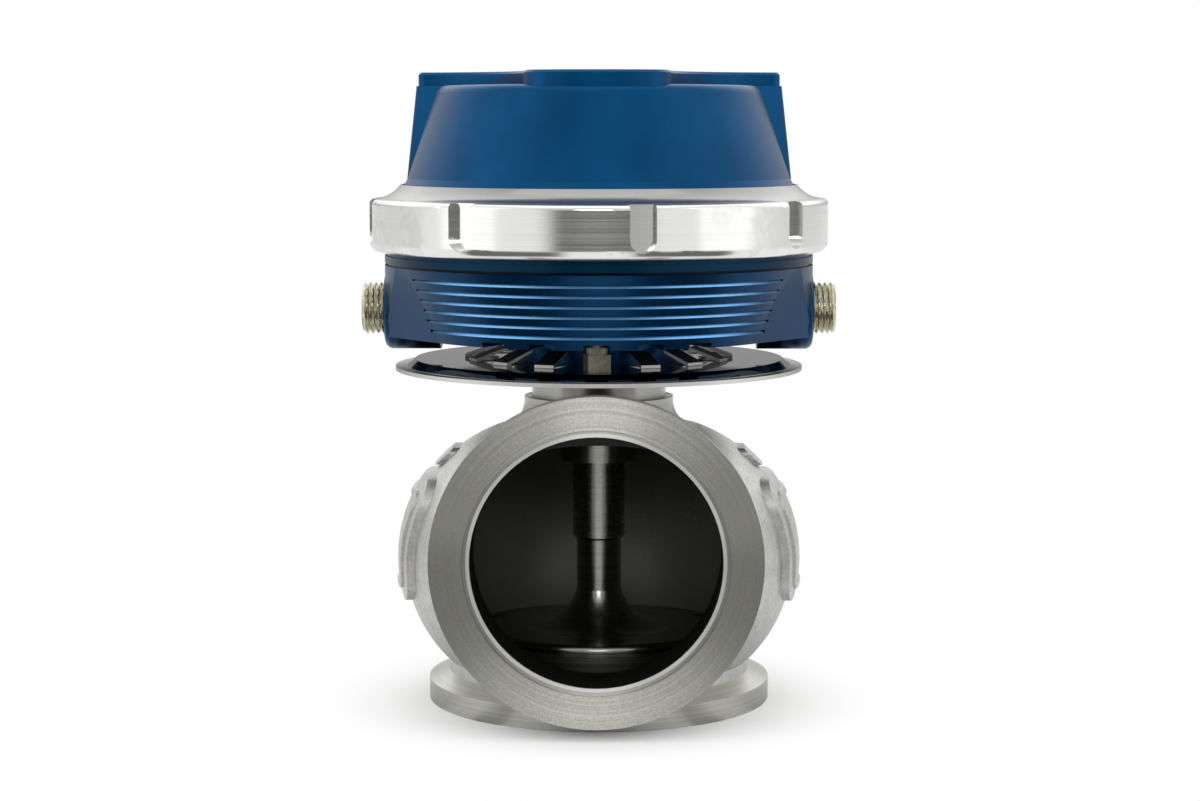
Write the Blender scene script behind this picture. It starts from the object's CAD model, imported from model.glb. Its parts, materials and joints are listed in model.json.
"""Looks of the turbo wastegate: finishes, threaded plugs, rolling diaphragm, springs, light and camera.

Lengths are in metres. The valve stem is on the Z axis, the inlet's face at Z = 0, and the outlet faces -Y.
"""

import json
import math

import bmesh
import bpy
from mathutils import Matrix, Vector


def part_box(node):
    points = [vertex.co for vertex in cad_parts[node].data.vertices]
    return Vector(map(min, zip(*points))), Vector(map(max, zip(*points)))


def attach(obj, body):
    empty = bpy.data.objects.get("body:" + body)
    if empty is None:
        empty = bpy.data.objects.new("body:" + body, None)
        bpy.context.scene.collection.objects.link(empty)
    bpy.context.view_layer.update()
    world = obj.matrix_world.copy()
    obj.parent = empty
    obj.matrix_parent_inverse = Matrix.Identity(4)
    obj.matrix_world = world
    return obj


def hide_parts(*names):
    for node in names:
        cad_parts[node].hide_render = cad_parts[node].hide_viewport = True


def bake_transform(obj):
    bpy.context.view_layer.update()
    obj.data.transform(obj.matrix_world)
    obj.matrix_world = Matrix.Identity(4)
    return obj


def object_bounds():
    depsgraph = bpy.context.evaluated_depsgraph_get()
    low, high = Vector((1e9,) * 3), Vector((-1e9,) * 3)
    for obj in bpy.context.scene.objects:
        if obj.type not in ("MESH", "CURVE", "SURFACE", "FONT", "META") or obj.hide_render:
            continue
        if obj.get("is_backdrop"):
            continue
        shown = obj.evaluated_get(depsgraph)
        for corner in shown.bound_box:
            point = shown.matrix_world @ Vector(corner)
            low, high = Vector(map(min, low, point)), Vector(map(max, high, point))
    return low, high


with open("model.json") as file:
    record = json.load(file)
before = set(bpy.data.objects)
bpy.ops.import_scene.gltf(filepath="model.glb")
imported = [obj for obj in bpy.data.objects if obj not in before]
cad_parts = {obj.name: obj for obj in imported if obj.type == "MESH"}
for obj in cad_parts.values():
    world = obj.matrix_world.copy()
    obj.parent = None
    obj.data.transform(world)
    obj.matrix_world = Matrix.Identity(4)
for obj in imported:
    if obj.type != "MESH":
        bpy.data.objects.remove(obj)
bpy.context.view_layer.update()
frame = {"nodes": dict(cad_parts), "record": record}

MM = 0.001
ORIGIN = (0.0, 0.0, 0.0)
STEM_AXIS = (0.0, 0.0, 1.0)
OUTLET_AXIS = (0.0, 1.0, 0.0)

# Colours, and pairs of them that are the dark and the light end of a tone
WHITE = (1.0, 1.0, 1.0)
CAP_BLUES = (0.0, 0.048, 0.138), (0.001, 0.072, 0.195)
HOUSING_BLUES = (0.0, 0.028, 0.084), (0.001, 0.042, 0.120)
GROOVE_GLINT_BLUE = (0.20, 0.50, 0.88)
SHADED_BLUE = (0.0, 0.026, 0.062)          # housing's rim and cap's foot, in the collar's shade
SEAM_BLUE = (0.0, 0.004, 0.010)
ALUMINIUM = (0.80, 0.80, 0.78)
WORN_ALUMINIUM = (0.72, 0.72, 0.69)
COVE_ALUMINIUM = (0.33, 0.33, 0.32)
MIRROR_STEELS = (0.16, 0.167, 0.178), (0.21, 0.217, 0.228)
SHEET_EDGE_STEEL = (0.66, 0.65, 0.62)
CAST_STEELS = (0.46, 0.457, 0.435), (0.66, 0.657, 0.63)
CHAMBER_STEEL = (0.34, 0.34, 0.30)
PASSAGE_STEEL = (0.045, 0.045, 0.04)
MACHINED_STEELS = (0.36, 0.356, 0.326), (0.57, 0.565, 0.52)
FACED_STEEL = (0.20, 0.198, 0.18)          # outlet's face at its left and right
LIP_STEEL = (0.62, 0.615, 0.585)
SEAT_STEELS = (0.06, 0.06, 0.055), (0.11, 0.11, 0.10)
VALVE_STEELS = (0.24, 0.237, 0.225), (0.32, 0.317, 0.30)
GUIDE_BRONZES = (0.30, 0.297, 0.28), (0.38, 0.377, 0.36)
NICKEL_STEELS = (0.12, 0.12, 0.092), (0.24, 0.235, 0.18)
SPRING_STEELS = (0.20, 0.20, 0.22), (0.36, 0.36, 0.38)
ZINC_STEELS = (0.46, 0.47, 0.49), (0.66, 0.67, 0.69)
NICKEL_BRASSES = (0.48, 0.46, 0.35), (0.74, 0.70, 0.56)
RUBBERS = (0.018, 0.018, 0.019), (0.045, 0.045, 0.046)
FIBRES = (0.14, 0.14, 0.135), (0.32, 0.32, 0.31)
PAPERS = (0.93, 0.93, 0.93), (0.97, 0.97, 0.97)
FLAG_GREY = (0.13, 0.13, 0.13)
MIRROR_GRAZING = (0.5, 0.5, 0.5)           # reflections at a grazing angle
INSIDE_GRAZING = (0.2, 0.2, 0.2)

# Roughness of the casting, and what wear adds to it on the collar and a cut edge on the heat shield
BLASTED_ROUGH = 0.48
MACHINED_ROUGH = 0.32
WEAR_ROUGH = 0.06
SHEET_EDGE_ROUGH = 0.30

# Turned faces: their highlights stretch across the tool's path, a quarter turn from it
ACROSS_THE_CUT = 0.25
TURNED_STRETCH = 0.5
MACHINED_STRETCH = 0.95
MARK_DRIFT = 0.6          # how much a turning mark changes on its way round

# Housing: the narrow seam under its rim, and the grooves between its fins, each with a sloping flank
housing_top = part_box("lower_housing")[1].z
SEAM_HIGH = housing_top - 7.95 * MM
SEAM_LOW = housing_top - 8.65 * MM
GROOVE_TOP = housing_top - 11.0 * MM
GROOVE_LOW = housing_top - 24.65 * MM
GROOVE_PITCH = 2.56 * MM
GROOVE_HEIGHT = 0.8 * MM
GROOVE_SECTOR = 1.63      # the grooves end where X is this many times Y
LEAST_STEP = 1.0 * MM     # least Y, so that nothing is divided by zero

# Collar: the cove at its top. Heat shield: just above its flat disc, and the inner edge of its rim
COVE_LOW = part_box("collar")[1].z - 3.5 * MM
DISC_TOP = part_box("shield_posts")[0].z + 0.1 * MM
SHIELD_RIM_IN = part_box("heat_shield")[1].x - 2.8 * MM

# Casting: its two flanges, neck and passages, the boss that holds the bush, and the chamber in its bulb.
# The bulb's side is an arc struck from a ring round the stem, and the chamber ends half way in its wall.
casting_low, casting_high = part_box("body_casting")
outlet_bore = {mount["name"]: mount for mount in frame["record"]["mounts"]}["outlet_bore"]
OUTLET_Z = outlet_bore["pos_m"][2]
OUTLET_BORE_R = outlet_bore["dims"]["r_mm"] * MM
OUTLET_CENTRE = (0.0, 0.0, OUTLET_Z)
OUTLET_RIM_END = casting_low.y + 7.4 * MM
LIP_REACH = OUTLET_BORE_R + 0.9 * MM
PASSAGE_REACH = OUTLET_BORE_R + 0.8 * MM
PASSAGE_START = casting_low.y + 1.8 * MM
PASSAGE_END = casting_low.y + 36.5 * MM
INLET_REACH = 33.0 * MM
INLET_START = casting_low.z + 1.8 * MM
INLET_END = casting_low.z + 13.0 * MM
INLET_RIM_TOP = casting_low.z + 7.7 * MM
NECK_LOW = casting_high.z - 12.0 * MM
BOSS_REACH = 11.0 * MM
BOSS_LOW = 58.0 * MM
BULB_ARC_R = 36.3 * MM
BULB_RING_R = casting_high.y - BULB_ARC_R
BULB_RING_Z = OUTLET_Z - 6.9 * MM
CHAMBER_REACH = BULB_ARC_R - 2.3 * MM

# Threads and sockets of the side plugs
THREAD_PITCH = 1.41 * MM
THREAD_DEPTH = 0.85 * MM
THREAD_STEPS = 14         # rings to a pitch
THREAD_CREST = 0.10       # flat share of half a pitch, at the crest
THREAD_FLANK = 0.80       # sloping share of half a pitch
PLUG_SIDES = 72
PLUG_CHAMFER = 0.9 * MM
PLUG_CHAMFER_SLOPE = 0.9  # radius lost for each step along the chamfer
SOCKET_FLATS = 5.6 * MM
SOCKET_DEPTH = 5.0 * MM
SOCKET_CHAMFER = 0.3 * MM
SHARP_EDGE = 32           # degrees between two faces from which their edge stays sharp

# Camera: metres from the stem's axis, turn towards +X, height, downward pitch and field of view in degrees
CAMERA_DISTANCE = 0.6732
CAMERA_TURN = 0.66
CAMERA_SIDE = 0.0003
CAMERA_HEIGHT = 0.1504
CAMERA_PITCH = 6.16
CAMERA_FIELD = 26.06
CAMERA_NEAR = 0.01

# Tent: its brightness at the sides, behind, and over the front, and the dim opening round the camera.
# A place in the tent is a unit direction. Pairs say where a change starts and ends along X, Y or Z.
SIDE_LEVEL = 0.95
BACK_LOW = 0.50
BACK_HIGH = 1.5
BACK_RISE = (0.0, 0.45)
SIDE_TO_BACK = (-0.15, 0.7)
FRONT_LEVEL = 0.5
FRONT_EDGE = (0.25, 0.6)
FRONT_TOP = (0.3, 0.9)
OPENING_LEVEL = 0.17
OPENING_WIDTH = 0.40
OPENING_HEIGHT = 0.24
OPENING_EDGE = (0.6, 1.3) # in parts of the opening's width and height

# Points on the stem's axis that the soft boxes face
BOX_AIM = (0.0, 0.0, 0.1)
LOW_AIM = (0.0, 0.0, 0.05)

# Floor: it glows white away from the object's shadow, and grey flags lie on it, seen in reflections only.
# A flag's sector is in steps sideways for each step to the front, its reach in metres from the stem.
# Two numbers say where a change starts and ends, four where it rises and where it falls.
FLOOR_HALF = 6.0
GLOW_REACH = (0.042, 0.078)
BESIDE_SECTOR = (0.12, 0.35, 1.6, 2.6)
BESIDE_REACH = (0.08, 0.14, 0.45, 0.9)
BEYOND_SECTOR = (0.3, 0.6)
BEYOND_REACH = (0.5, 0.8)
NEAR_SECTOR = (0.60, 0.70, 0.95, 1.10)
NEAR_SIDE_SECTOR = (1.9, 2.3)
NEAR_REACH = (0.085, 0.11)
BEHIND_REACH = (0.05, 0.3)
HALF_FLAG = 0.45          # strength of the flags behind and near the sides
FLAG_APEX = 0.02          # the sectors beside and beyond the front spread from here, behind the stem
NEAR_STEP = 0.002         # least step to the front, so that nothing is divided by zero


# ---------------------------------------------------------------- shader nodes
class Look:
    """Shader nodes of a material or a world. Inputs may be sockets, numbers, vectors or colours."""

    # Inputs and output of the mix node that belong to each kind of value
    MIX_PLACES = {"FLOAT": (2, 3, 0), "VECTOR": (4, 5, 1), "RGBA": (6, 7, 2)}

    def __init__(self, owner, shader="Principled BSDF"):
        owner.use_nodes = True
        self.owner = owner
        self.tree = owner.node_tree
        self.shader = self.tree.nodes[shader]

    def put(self, socket, value):
        if isinstance(value, bpy.types.NodeSocket):
            self.tree.links.new(value, socket)
        elif socket.type == "RGBA":
            socket.default_value = (*value, 1.0)
        else:
            socket.default_value = value

    def node(self, kind, values=(), **settings):
        """New node with its settings made and its inputs filled, by place or by name."""
        node = self.tree.nodes.new(kind)
        for key, value in settings.items():
            setattr(node, key, value)
        for index, value in dict(values).items():
            self.put(node.inputs[index], value)
        return node

    def math(self, operation, *values):
        return self.node("ShaderNodeMath", enumerate(values), operation=operation).outputs[0]

    def vector(self, operation, *values):
        node = self.node("ShaderNodeVectorMath", enumerate(values), operation=operation)
        return node.outputs["Value" if operation == "LENGTH" else "Vector"]

    def split(self, vector):
        return self.node("ShaderNodeSeparateXYZ", {0: vector}).outputs

    def join(self, x, y, z):
        return self.node("ShaderNodeCombineXYZ", {0: x, 1: y, 2: z}).outputs[0]

    def length(self, x, y):
        """Length of a flat step."""
        return self.vector("LENGTH", self.join(x, y, 0.0))

    def size(self, value):
        """Value without its sign."""
        return self.math("ABSOLUTE", value)

    def above(self, value, limit):
        return self.math("GREATER_THAN", value, limit)

    def below(self, value, limit):
        return self.math("LESS_THAN", value, limit)

    def all_of(self, first, *others):
        """Product of masks."""
        for other in others:
            first = self.math("MULTIPLY", first, other)
        return first

    def any_of(self, first, *others):
        """Greatest of masks."""
        for other in others:
            first = self.math("MAXIMUM", first, other)
        return first

    def between(self, value, low, high):
        return self.all_of(self.above(value, low), self.below(value, high))

    def ranged(self, value, low, high, out_low=0.0, out_high=1.0):
        """Smooth step of a value between low and high, mapped to two outputs."""
        values = {0: value, 1: low, 2: high, 3: out_low, 4: out_high}
        return self.node("ShaderNodeMapRange", values, interpolation_type="SMOOTHSTEP").outputs[0]

    def fading(self, value, start, end):
        """1 up to the start and 0 from the end on."""
        return self.ranged(value, start, end, 1.0, 0.0)

    def band(self, value, start, full, fade, end):
        """0 outside start and end, and 1 between full and fade."""
        return self.all_of(self.ranged(value, start, full), self.fading(value, fade, end))

    def spread(self, noise, out_low=0.0, out_high=1.0):
        """Noise stays mostly between 0.3 and 0.7: those become the two outputs."""
        return self.ranged(noise, 0.3, 0.7, out_low, out_high)

    def weigh(self, first, second, share):
        """Sum of two noises, the first with its share and the second with the rest."""
        rest = self.math("MULTIPLY", second, 1.0 - share)
        return self.math("ADD", self.math("MULTIPLY", first, share), rest)

    def mix(self, factor, first, second, kind="RGBA"):
        """Mix of two colours, or of two numbers or vectors where the kind says so."""
        first_place, second_place, output = self.MIX_PLACES[kind]
        values = {0: factor, first_place: first, second_place: second}
        return self.node("ShaderNodeMix", values, data_type=kind).outputs[output]

    def place(self):
        """Point on the object in metres, which moves with it."""
        return self.node("ShaderNodeTexCoord").outputs["Object"]

    def noise(self, vector, scale, detail=2.0, roughness=0.5):
        values = {"Vector": vector, "Scale": scale, "Detail": detail, "Roughness": roughness}
        return self.node("ShaderNodeTexNoise", values).outputs["Fac"]

    def bump(self, height, depth_mm, strength, under=None):
        """Normal of an uneven surface, laid over that of another where one is under it."""
        values = {"Strength": strength, "Distance": depth_mm * MM, "Height": height}
        if under is not None:
            values["Normal"] = under
        return self.node("ShaderNodeBump", values).outputs[0]

    def set(self, **values):
        """Inputs of the shader by name, with underscores for spaces."""
        for key, value in values.items():
            self.put(self.shader.inputs[key.replace("_", " ")], value)


def material_look(name):
    return Look(bpy.data.materials.new(name))


def around_axis(look, point, centre=ORIGIN, axis=STEM_AXIS):
    """Distance from the stem's or the outlet's axis, place along it and angle about it."""
    x, y, z = look.split(look.vector("SUBTRACT", point, centre))
    up, along = (y, z) if axis == STEM_AXIS else (z, y)
    return look.length(x, up), along, look.math("ARCTAN2", up, x)


def turning_marks(look, around, per_mm):
    """Noise drawn out along the cut: it changes quickly across the tool's path and slowly along it."""
    radius, along, angle = around
    scale = per_mm / MM
    across = look.math("MULTIPLY", radius, scale)
    forward = look.math("MULTIPLY", along, scale)
    drift = look.math("MULTIPLY", look.math("SINE", angle), MARK_DRIFT)
    return look.noise(look.join(across, forward, drift), scale=1.0, detail=3.0, roughness=0.6)


def cut_tangent(look, centre=ORIGIN, axis=STEM_AXIS):
    """Direction of the tool's path round an axis, for the stretched highlight of a turned face."""
    place = look.node("ShaderNodeNewGeometry").outputs["Position"]
    out = look.vector("SUBTRACT", place, centre)
    return look.vector("NORMALIZE", look.vector("CROSS_PRODUCT", axis, out))


# ---------------------------------------------------------------- materials
def groove_glint(look, x, y, z):
    """Light on the grooves' flanks: full beside the middle of the front and rear, faint where they end."""
    sideways = look.size(x)
    outward = look.size(y)
    groove = look.math("FRACT", look.math("DIVIDE", look.math("SUBTRACT", GROOVE_TOP, z), GROOVE_PITCH))
    on_flank = look.below(groove, GROOVE_HEIGHT / GROOVE_PITCH)
    in_rows = look.between(z, GROOVE_LOW, GROOVE_TOP)
    in_sector = look.below(sideways, look.math("MULTIPLY", outward, GROOVE_SECTOR))
    slant = look.math("DIVIDE", sideways, look.math("MAXIMUM", outward, LEAST_STEP))
    from_middle = look.ranged(slant, low=0.05, high=0.45, out_low=0.25, out_high=1.0)
    to_end = look.ranged(slant, low=0.7, high=1.35, out_low=1.0, out_high=0.12)
    return look.all_of(on_flank, in_rows, in_sector, from_middle, to_end)


def blue_anodised():
    """Anodised aluminium: darker on the housing than on the cap, and darkest in the seam."""
    look = material_look("blue_anodised_finish")
    place = look.place()
    x, y, z = look.split(place)
    grain = look.noise(place, scale=3800.0, roughness=0.7)
    cloud = look.noise(place, scale=55.0, detail=3.0)
    marks = turning_marks(look, around_axis(look, place), per_mm=1.6)
    tone = look.spread(look.weigh(grain, cloud, share=0.45))
    color = look.mix(look.below(z, SEAM_HIGH), look.mix(tone, *CAP_BLUES), look.mix(tone, *HOUSING_BLUES))
    color = look.mix(groove_glint(look, x, y, z), color, GROOVE_GLINT_BLUE)
    color = look.mix(look.between(z, SEAM_HIGH, COVE_LOW), color, SHADED_BLUE)
    color = look.mix(look.between(z, SEAM_LOW, SEAM_HIGH), color, SEAM_BLUE)
    rough = look.spread(grain, out_low=0.32, out_high=0.44)
    fine = look.bump(grain, depth_mm=0.02, strength=0.45)
    normal = look.bump(marks, depth_mm=0.02, strength=0.35, under=fine)
    look.set(Base_Color=color, Metallic=1.0, Roughness=rough, Normal=normal,
             Coat_Weight=0.10, Coat_Roughness=0.18, Coat_IOR=1.6)
    return look.owner


def satin_aluminium():
    """Turned collar: bright, worn duller in patches, with small nicks and a shaded cove at its top."""
    look = material_look("satin_aluminium_finish")
    place = look.place()
    radius, height, angle = around_axis(look, place)
    marks = turning_marks(look, (radius, height, angle), per_mm=2.2)
    worn = look.noise(place, scale=170.0, detail=4.0, roughness=0.65)
    patch = look.noise(place, scale=30.0)
    wear = look.all_of(look.ranged(worn, low=0.46, high=0.62), look.ranged(patch, low=0.42, high=0.6))
    color = look.mix(wear, ALUMINIUM, WORN_ALUMINIUM)
    color = look.mix(look.above(height, COVE_LOW), color, COVE_ALUMINIUM)
    dulled = look.math("MULTIPLY", wear, WEAR_ROUGH)
    rough = look.math("ADD", look.spread(marks, out_low=0.13, out_high=0.20), dulled)
    cells = look.node("ShaderNodeTexVoronoi", {"Vector": place, "Scale": 160.0}).outputs["Distance"]
    nicks = look.ranged(cells, low=0.02, high=0.10)
    fine = look.bump(marks, depth_mm=0.03, strength=0.4)
    normal = look.bump(nicks, depth_mm=0.06, strength=0.25, under=fine)
    look.set(Base_Color=color, Metallic=1.0, Roughness=rough, Normal=normal, Tangent=cut_tangent(look),
             Anisotropic=TURNED_STRETCH, Anisotropic_Rotation=ACROSS_THE_CUT)
    return look.owner


def mirror_steel():
    """Polished sheet with a slightly uneven face, and dull on its louvres and rim."""
    look = material_look("mirror_steel_finish")
    place = look.place()
    wobble = look.noise(place, scale=60.0)
    smear = look.noise(place, scale=240.0, detail=3.0)
    radius, height, _ = around_axis(look, place)
    dull = look.any_of(look.above(height, DISC_TOP), look.above(radius, SHIELD_RIM_IN))
    color = look.mix(dull, look.mix(smear, *MIRROR_STEELS), SHEET_EDGE_STEEL)
    polished = look.ranged(smear, low=0.3, high=0.8, out_low=0.03, out_high=0.07)
    rough = look.math("ADD", polished, look.math("MULTIPLY", dull, SHEET_EDGE_ROUGH))
    look.set(Base_Color=color, Metallic=1.0, Roughness=rough, Specular_Tint=MIRROR_GRAZING,
             Normal=look.bump(wobble, depth_mm=0.10, strength=0.10))
    return look.owner


def casting_zones(look, radius, outlet_radius, y, z):
    """Masks of the outlet's rim, of all machined places outside, of the passages, and of the inside."""
    at_outlet = look.below(y, OUTLET_RIM_END)
    at_boss = look.all_of(look.below(radius, BOSS_REACH), look.above(z, BOSS_LOW))
    machined = look.any_of(look.below(z, INLET_RIM_TOP), at_boss, at_outlet, look.above(z, NECK_LOW))
    from_ring = look.length(look.math("SUBTRACT", radius, BULB_RING_R), look.math("SUBTRACT", z, BULB_RING_Z))
    in_chamber = look.all_of(look.below(from_ring, CHAMBER_REACH), look.above(radius, BOSS_REACH))
    in_inlet = look.all_of(look.below(radius, INLET_REACH), look.between(z, INLET_START, INLET_END))
    in_outlet = look.all_of(look.below(outlet_radius, PASSAGE_REACH),
                            look.between(y, PASSAGE_START, PASSAGE_END))
    passages = look.any_of(in_outlet, in_inlet)
    inside = look.any_of(in_chamber, passages)
    outside = look.math("SUBTRACT", 1.0, inside)
    return at_outlet, look.all_of(machined, outside), passages, inside


def machined_color(look, place, marks, at_outlet, outlet_radius, outlet_angle):
    """Fine lines on turned places, and on the outlet's face a sparkle, a darker fan and a bright lip."""
    sparkle = look.noise(place, scale=3600.0, roughness=0.6)
    lines = look.ranged(marks, low=0.0, high=1.0, out_low=0.38, out_high=0.62)
    fleck = look.mix(at_outlet, lines, look.weigh(marks, sparkle, share=0.5), kind="FLOAT")
    color = look.mix(look.ranged(fleck, low=0.35, high=0.65), *MACHINED_STEELS)
    sideways = look.size(look.math("COSINE", outlet_angle))
    fan = look.ranged(sideways, low=0.35, high=0.95, out_low=0.0, out_high=0.75)
    color = look.mix(look.all_of(fan, at_outlet), color, FACED_STEEL)
    lip = look.below(outlet_radius, LIP_REACH)
    return look.mix(look.all_of(lip, at_outlet), color, LIP_STEEL)


def cast_stainless():
    """Blasted casting, with bright machined flanges, spigot and outlet face."""
    look = material_look("cast_stainless_finish")
    place = look.place()
    around_stem = around_axis(look, place)
    around_outlet = around_axis(look, place, OUTLET_CENTRE, OUTLET_AXIS)
    _, y, z = look.split(place)
    at_outlet, machined, passages, inside = casting_zones(look, around_stem[0], around_outlet[0], y, z)

    grain = look.noise(place, scale=1500.0, detail=3.0, roughness=0.65)
    lumps = look.noise(place, scale=260.0, detail=3.0, roughness=0.6)
    cast = look.mix(look.spread(look.weigh(grain, lumps, share=0.65)), *CAST_STEELS)
    cast = look.mix(inside, cast, CHAMBER_STEEL)
    cast = look.mix(passages, cast, PASSAGE_STEEL)
    fine = look.bump(grain, depth_mm=0.06, strength=0.9)
    blasted = look.bump(lumps, depth_mm=0.10, strength=0.5, under=fine)

    turned = turning_marks(look, around_stem, per_mm=3.5)
    faced = turning_marks(look, around_outlet, per_mm=3.2)
    marks = look.mix(at_outlet, turned, faced, kind="FLOAT")
    bright = machined_color(look, place, marks, at_outlet, around_outlet[0], around_outlet[2])
    cut = look.bump(marks, depth_mm=0.015, strength=0.4)
    face_tangent = cut_tangent(look, OUTLET_CENTRE, OUTLET_AXIS)
    tangent = look.mix(at_outlet, cut_tangent(look), face_tangent, kind="VECTOR")

    look.set(Base_Color=look.mix(machined, cast, bright), Metallic=1.0,
             Roughness=look.mix(machined, BLASTED_ROUGH, MACHINED_ROUGH, kind="FLOAT"),
             Normal=look.mix(machined, blasted, cut, kind="VECTOR"), Tangent=tangent,
             Specular_Tint=look.mix(inside, WHITE, INSIDE_GRAZING),
             Anisotropic=look.math("MULTIPLY", machined, MACHINED_STRETCH),
             Anisotropic_Rotation=ACROSS_THE_CUT)
    return look.owner


def turned_metal(name, tones, rough, depth_mm):
    """Plain turned metal with marks round the stem's axis."""
    look = material_look(name + "_finish")
    marks = turning_marks(look, around_axis(look, look.place()), per_mm=2.0)
    look.set(Base_Color=look.mix(look.spread(marks), *tones), Metallic=1.0,
             Roughness=look.spread(marks, out_low=rough - 0.03, out_high=rough + 0.03),
             Normal=look.bump(marks, depth_mm, strength=0.5), Tangent=cut_tangent(look),
             Anisotropic=TURNED_STRETCH, Anisotropic_Rotation=ACROSS_THE_CUT)
    return look.owner


def seat_steel():
    return turned_metal("seat_steel", SEAT_STEELS, rough=0.34, depth_mm=0.03)


def valve_steel():
    return turned_metal("valve_steel", VALVE_STEELS, rough=0.22, depth_mm=0.001)


def guide_bronze():
    return turned_metal("guide_bronze", GUIDE_BRONZES, rough=0.26, depth_mm=0.001)


def grained_metal(name, tones, rough):
    """Plated or peened metal with a fine even grain."""
    look = material_look(name + "_finish")
    place = look.place()
    grain = look.noise(place, scale=1400.0, detail=3.0, roughness=0.6)
    cloud = look.noise(place, scale=140.0, detail=3.0)
    tone = look.weigh(grain, cloud, share=0.4)
    look.set(Base_Color=look.mix(look.ranged(tone, low=0.35, high=0.65), *tones), Metallic=1.0,
             Roughness=look.spread(tone, out_low=rough - 0.06, out_high=rough + 0.08),
             Normal=look.bump(grain, depth_mm=0.03, strength=0.6))
    return look.owner


def nickel_steel():
    return grained_metal("nickel_steel", NICKEL_STEELS, rough=0.36)


def spring_steel():
    return grained_metal("spring_steel", SPRING_STEELS, rough=0.36)


def zinc_steel():
    return grained_metal("zinc_steel", ZINC_STEELS, rough=0.30)


def nickel_brass():
    return grained_metal("nickel_brass", NICKEL_BRASSES, rough=0.22)


def black_rubber():
    """Rubber moulded over cloth, whose weave shows through a little dust."""
    look = material_look("black_rubber_finish")
    place = look.place()
    wave = look.node("ShaderNodeTexWave", {"Vector": place, "Scale": 900.0, "Distortion": 1.0})
    dust = look.noise(place, scale=300.0, detail=3.0)
    look.set(Base_Color=look.mix(dust, *RUBBERS), Roughness=0.62,
             Normal=look.bump(wave.outputs["Fac"], depth_mm=0.05, strength=0.5))
    return look.owner


def gasket_fibre():
    """Pressed fibre sheet."""
    look = material_look("gasket_fibre_finish")
    fibres = look.noise(look.place(), scale=900.0, detail=4.0, roughness=0.7)
    look.set(Base_Color=look.mix(fibres, *FIBRES), Roughness=0.85,
             Normal=look.bump(fibres, depth_mm=0.05, strength=0.7))
    return look.owner


# ---------------------------------------------------------------- pieces
def mesh_object(name, mesh, finish):
    piece = bpy.data.objects.new(name, mesh)
    bpy.context.scene.collection.objects.link(piece)
    piece.data.materials.clear()
    piece.data.materials.append(finish)
    return piece


def hexagon_radius(flats, angle):
    """Distance from a hexagon's centre to its side at an angle."""
    sector = math.radians(60)
    return flats / 2 / math.cos((angle % sector) - sector / 2)


def thread_radius(offset, angle, hand, length, crest_r):
    """Radius of a thread at a distance from the plug's inner end, cut off by the chamfer at its outer end."""
    chamfer = max(0.0, offset - (length - PLUG_CHAMFER)) * PLUG_CHAMFER_SLOPE
    phase = (offset / THREAD_PITCH - hand * angle / (2 * math.pi)) % 1.0
    flank = min(1.0, max(0.0, (abs(2 * phase - 1) - THREAD_CREST) / THREAD_FLANK))
    return min(crest_r - chamfer, crest_r - THREAD_DEPTH * flank)


def plug_shape(mesh, side, length, crest_r):
    """Thread and hexagon socket as rings along X, from the plug's inner end out and back into the socket."""
    def ring(offset, radius_at):
        points = []
        for i in range(PLUG_SIDES):
            angle = 2 * math.pi * i / PLUG_SIDES
            r = radius_at(angle)
            points.append(mesh.verts.new((side * offset, r * math.cos(angle), r * math.sin(angle))))
        return points

    def thread_ring(offset):
        return ring(offset, lambda angle: thread_radius(offset, angle, side, length, crest_r))

    def socket_ring(offset, flats):
        return ring(offset, lambda angle: hexagon_radius(flats, angle))

    steps = int(length / THREAD_PITCH * THREAD_STEPS)
    rows = [thread_ring(length * i / steps) for i in range(steps + 1)]
    rows.append(socket_ring(length, SOCKET_FLATS + 2 * SOCKET_CHAMFER))
    rows.append(socket_ring(length - SOCKET_CHAMFER, SOCKET_FLATS))
    rows.append(socket_ring(length - SOCKET_DEPTH, SOCKET_FLATS))
    for near, far in zip(rows, rows[1:]):
        for i in range(PLUG_SIDES):
            j = (i + 1) % PLUG_SIDES
            mesh.faces.new((near[i], near[j], far[j], far[i]))
    mesh.faces.new(rows[0])
    mesh.faces.new(rows[-1])
    bmesh.ops.recalc_face_normals(mesh, faces=mesh.faces)


def threaded_plug(node, side, finish):
    """Pipe plug with a real thread, a chamfered end and a hexagon socket, in the place of its plain solid."""
    low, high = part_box(node)
    centre = (low + high) / 2
    mesh = bmesh.new()
    plug_shape(mesh, side, high.x - low.x, (high.z - low.z) / 2)
    start = Vector((low.x if side > 0 else high.x, centre.y, centre.z))
    bmesh.ops.translate(mesh, verts=mesh.verts, vec=start)
    data = bpy.data.meshes.new(node + "_thread")
    mesh.to_mesh(data)
    mesh.free()
    data.shade_smooth()
    data.set_sharp_from_angle(angle=math.radians(SHARP_EDGE))
    piece = mesh_object(node + "_threaded", data, finish)
    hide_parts(node)
    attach(piece, "casing")


def soft_copy(node, finish):
    """Copy of a deforming solid: one end stays with the casing and the other goes with the valve."""
    source = frame["nodes"][node]
    piece = mesh_object(node + "_flexing", source.data.copy(), finish)
    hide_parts(node)
    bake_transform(piece)


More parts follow.
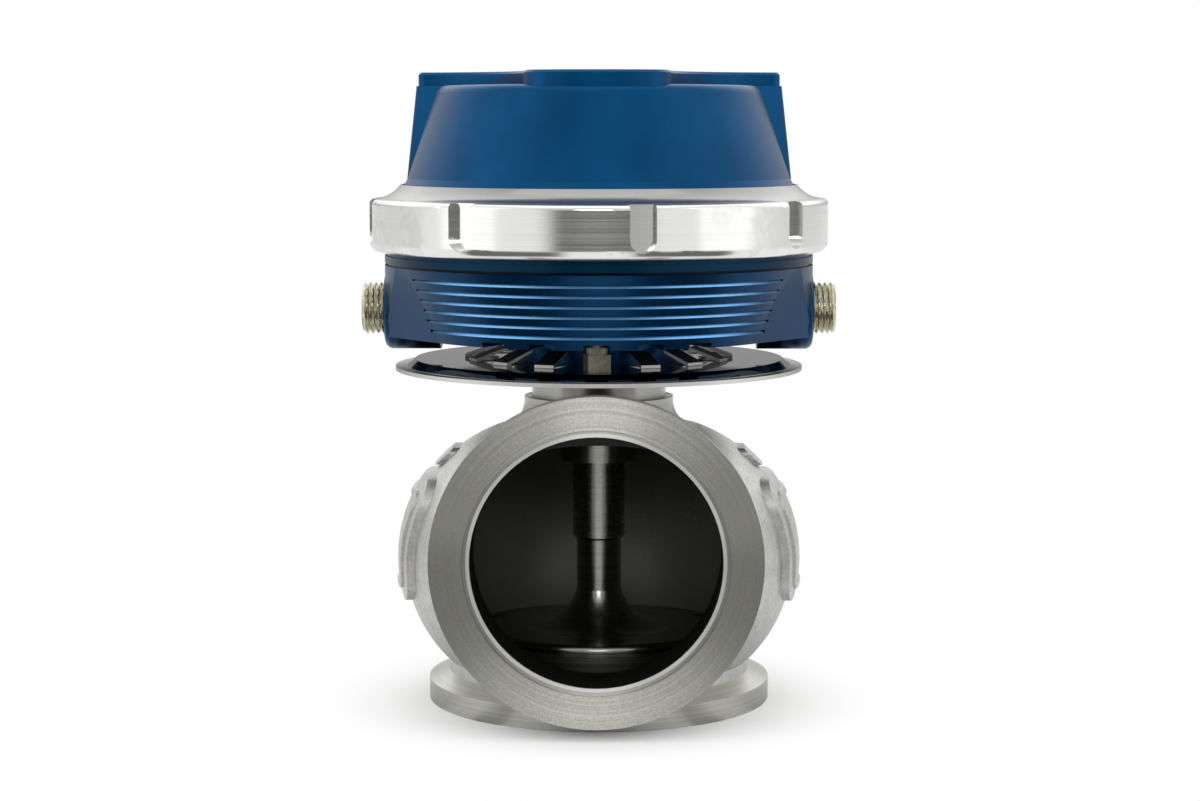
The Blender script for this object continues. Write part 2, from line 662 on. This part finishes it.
# ---------------------------------------------------------------- light, floor and camera
def tent_world():
    """White tent: dim round the camera's opening at the front, and pure white where the camera sees it."""
    world = bpy.data.worlds.new("tent")
    bpy.context.scene.world = world
    look = Look(world, "Background")
    toward = look.node("ShaderNodeTexCoord").outputs["Generated"]
    x, y, z = look.split(look.vector("NORMALIZE", toward))
    behind = look.ranged(z, *BACK_RISE, BACK_LOW, BACK_HIGH)
    level = look.ranged(y, *SIDE_TO_BACK, SIDE_LEVEL, behind)
    in_front = look.below(y, 0.0)
    over_front = look.all_of(look.fading(look.size(x), *FRONT_EDGE), look.fading(z, *FRONT_TOP), in_front)
    level = look.mix(over_front, level, FRONT_LEVEL, kind="FLOAT")
    off_axis = look.length(look.math("DIVIDE", x, OPENING_WIDTH), look.math("DIVIDE", z, OPENING_HEIGHT))
    opening = look.all_of(look.fading(off_axis, *OPENING_EDGE), in_front)
    level = look.mix(opening, level, OPENING_LEVEL, kind="FLOAT")
    seen = look.node("ShaderNodeLightPath").outputs["Is Camera Ray"]
    look.set(Color=look.mix(seen, look.join(level, level, level), WHITE), Strength=1.0)


def soft_box(name, place, aim, width, height, radiance):
    """Area lamp that faces a point, its power set from the brightness of its face."""
    lamp = bpy.data.lights.new(name, "AREA")
    lamp.shape = "RECTANGLE"
    lamp.size = width
    lamp.size_y = height
    lamp.energy = radiance * math.pi * width * height
    holder = bpy.data.objects.new(name, lamp)
    bpy.context.scene.collection.objects.link(holder)
    holder.location = place
    holder.rotation_euler = (Vector(aim) - Vector(place)).to_track_quat("-Z", "Y").to_euler()


def floor_flags(look, place, distance):
    """Mask of the grey flags: beside and beyond the front, a soft one behind, and strips near the object."""
    x, y, _ = look.split(place)
    sideways = look.size(x)
    ahead = look.math("MULTIPLY", y, -1.0)
    from_apex = look.math("ADD", look.math("MAXIMUM", ahead, 0.0), FLAG_APEX)
    sector = look.math("DIVIDE", sideways, from_apex)
    beside = look.all_of(look.band(sector, *BESIDE_SECTOR), look.band(distance, *BESIDE_REACH))
    beyond = look.all_of(look.fading(sector, *BEYOND_SECTOR), look.ranged(distance, *BEYOND_REACH))
    in_front = look.all_of(look.any_of(beside, beyond), look.above(ahead, 0.0))
    behind = look.ranged(y, *BEHIND_REACH, 0.0, HALF_FLAG)
    near_sector = look.math("DIVIDE", sideways, look.math("MAXIMUM", ahead, NEAR_STEP))
    at_sides = look.ranged(near_sector, *NEAR_SIDE_SECTOR, 0.0, HALF_FLAG)
    strips = look.any_of(look.band(near_sector, *NEAR_SECTOR), at_sides)
    near = look.all_of(strips, look.fading(distance, *NEAR_REACH))
    return look.any_of(in_front, behind, near)


def floor():
    """Pale paper that takes the object's shadow and glows white further away."""
    mesh = bpy.data.meshes.new("floor")
    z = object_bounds()[0][2]
    corners = [(x * FLOOR_HALF, y * FLOOR_HALF, z) for x, y in ((-1, -1), (1, -1), (1, 1), (-1, 1))]
    mesh.from_pydata(corners, [], [(0, 1, 2, 3)])
    look = material_look("floor_paper")
    place = look.node("ShaderNodeNewGeometry").outputs["Position"]
    distance = look.vector("LENGTH", place)
    rays = look.node("ShaderNodeLightPath").outputs
    flag = look.all_of(floor_flags(look, place, distance), rays["Is Glossy Ray"])
    paper = look.mix(look.noise(place, scale=400.0), *PAPERS)
    look.set(Base_Color=look.mix(flag, paper, FLAG_GREY), Roughness=0.9, Specular_IOR_Level=0.0)
    watched = look.math("SUBTRACT", look.any_of(rays["Is Camera Ray"], rays["Is Glossy Ray"]), flag)
    glowing = look.all_of(look.ranged(distance, *GLOW_REACH), watched)
    glow = look.node("ShaderNodeEmission", {"Color": WHITE, "Strength": 1.0}).outputs[0]
    mixed = look.node("ShaderNodeMixShader", {0: glowing, 1: look.shader.outputs[0], 2: glow})
    look.put(look.tree.nodes["Material Output"].inputs["Surface"], mixed.outputs[0])
    plane = bpy.data.objects.new("floor", mesh)
    bpy.context.scene.collection.objects.link(plane)
    plane.data.materials.append(look.owner)
    plane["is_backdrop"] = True


def camera():
    data = bpy.data.cameras.new("camera")
    data.sensor_fit = "HORIZONTAL"
    data.angle = math.radians(CAMERA_FIELD)
    data.clip_start = CAMERA_NEAR
    holder = bpy.data.objects.new("camera", data)
    bpy.context.scene.collection.objects.link(holder)
    turn = math.radians(CAMERA_TURN)
    right = Vector((math.cos(turn), math.sin(turn), 0))
    back = Vector((math.sin(turn), -math.cos(turn), 0))
    place = right * CAMERA_SIDE + back * CAMERA_DISTANCE
    holder.location = (place.x, place.y, CAMERA_HEIGHT)
    holder.rotation_euler = (math.radians(90 - CAMERA_PITCH), 0, turn)
    bpy.context.scene.camera = holder


bpy.context.scene.view_settings.view_transform = "Standard"
camera()
floor()
tent_world()
soft_box("left_box", place=(-0.75, -0.35, 0.35), aim=BOX_AIM, width=0.5, height=0.9, radiance=0.3)
soft_box("right_box", place=(0.75, -0.35, 0.35), aim=BOX_AIM, width=0.5, height=0.9, radiance=0.3)
soft_box("top_box", place=(0.0, -0.15, 0.9), aim=BOX_AIM, width=0.8, height=0.6, radiance=0.4)
soft_box("front_box", place=(0.0, -0.78, 0.36), aim=LOW_AIM, width=0.25, height=0.18, radiance=5.0)

# Finish of each material slot
finishes = {
    "cast_stainless": cast_stainless(),
    "seat_steel": seat_steel(),
    "valve_steel": valve_steel(),
    "guide_bronze": guide_bronze(),
    "mirror_steel": mirror_steel(),
    "nickel_steel": nickel_steel(),
    "blue_anodised": blue_anodised(),
    "black_rubber": black_rubber(),
    "spring_steel": spring_steel(),
    "gasket_fibre": gasket_fibre(),
    "zinc_steel": zinc_steel(),
    "nickel_brass": nickel_brass(),
    "plain_aluminium": satin_aluminium(),
}
slots = {part["node"]: part["material_slot"] for part in frame["record"]["subparts"]}
for node, solid in frame["nodes"].items():
    for material_slot in solid.material_slots:
        material_slot.material = finishes[slots[node]]

threaded_plug("pipe_plug_right", 1, finishes["nickel_brass"])
threaded_plug("pipe_plug_left", -1, finishes["nickel_brass"])
soft_copy("diaphragm", finishes["black_rubber"])
for spring in ("outer_spring", "middle_spring", "inner_spring"):
    soft_copy(spring, finishes["spring_steel"])
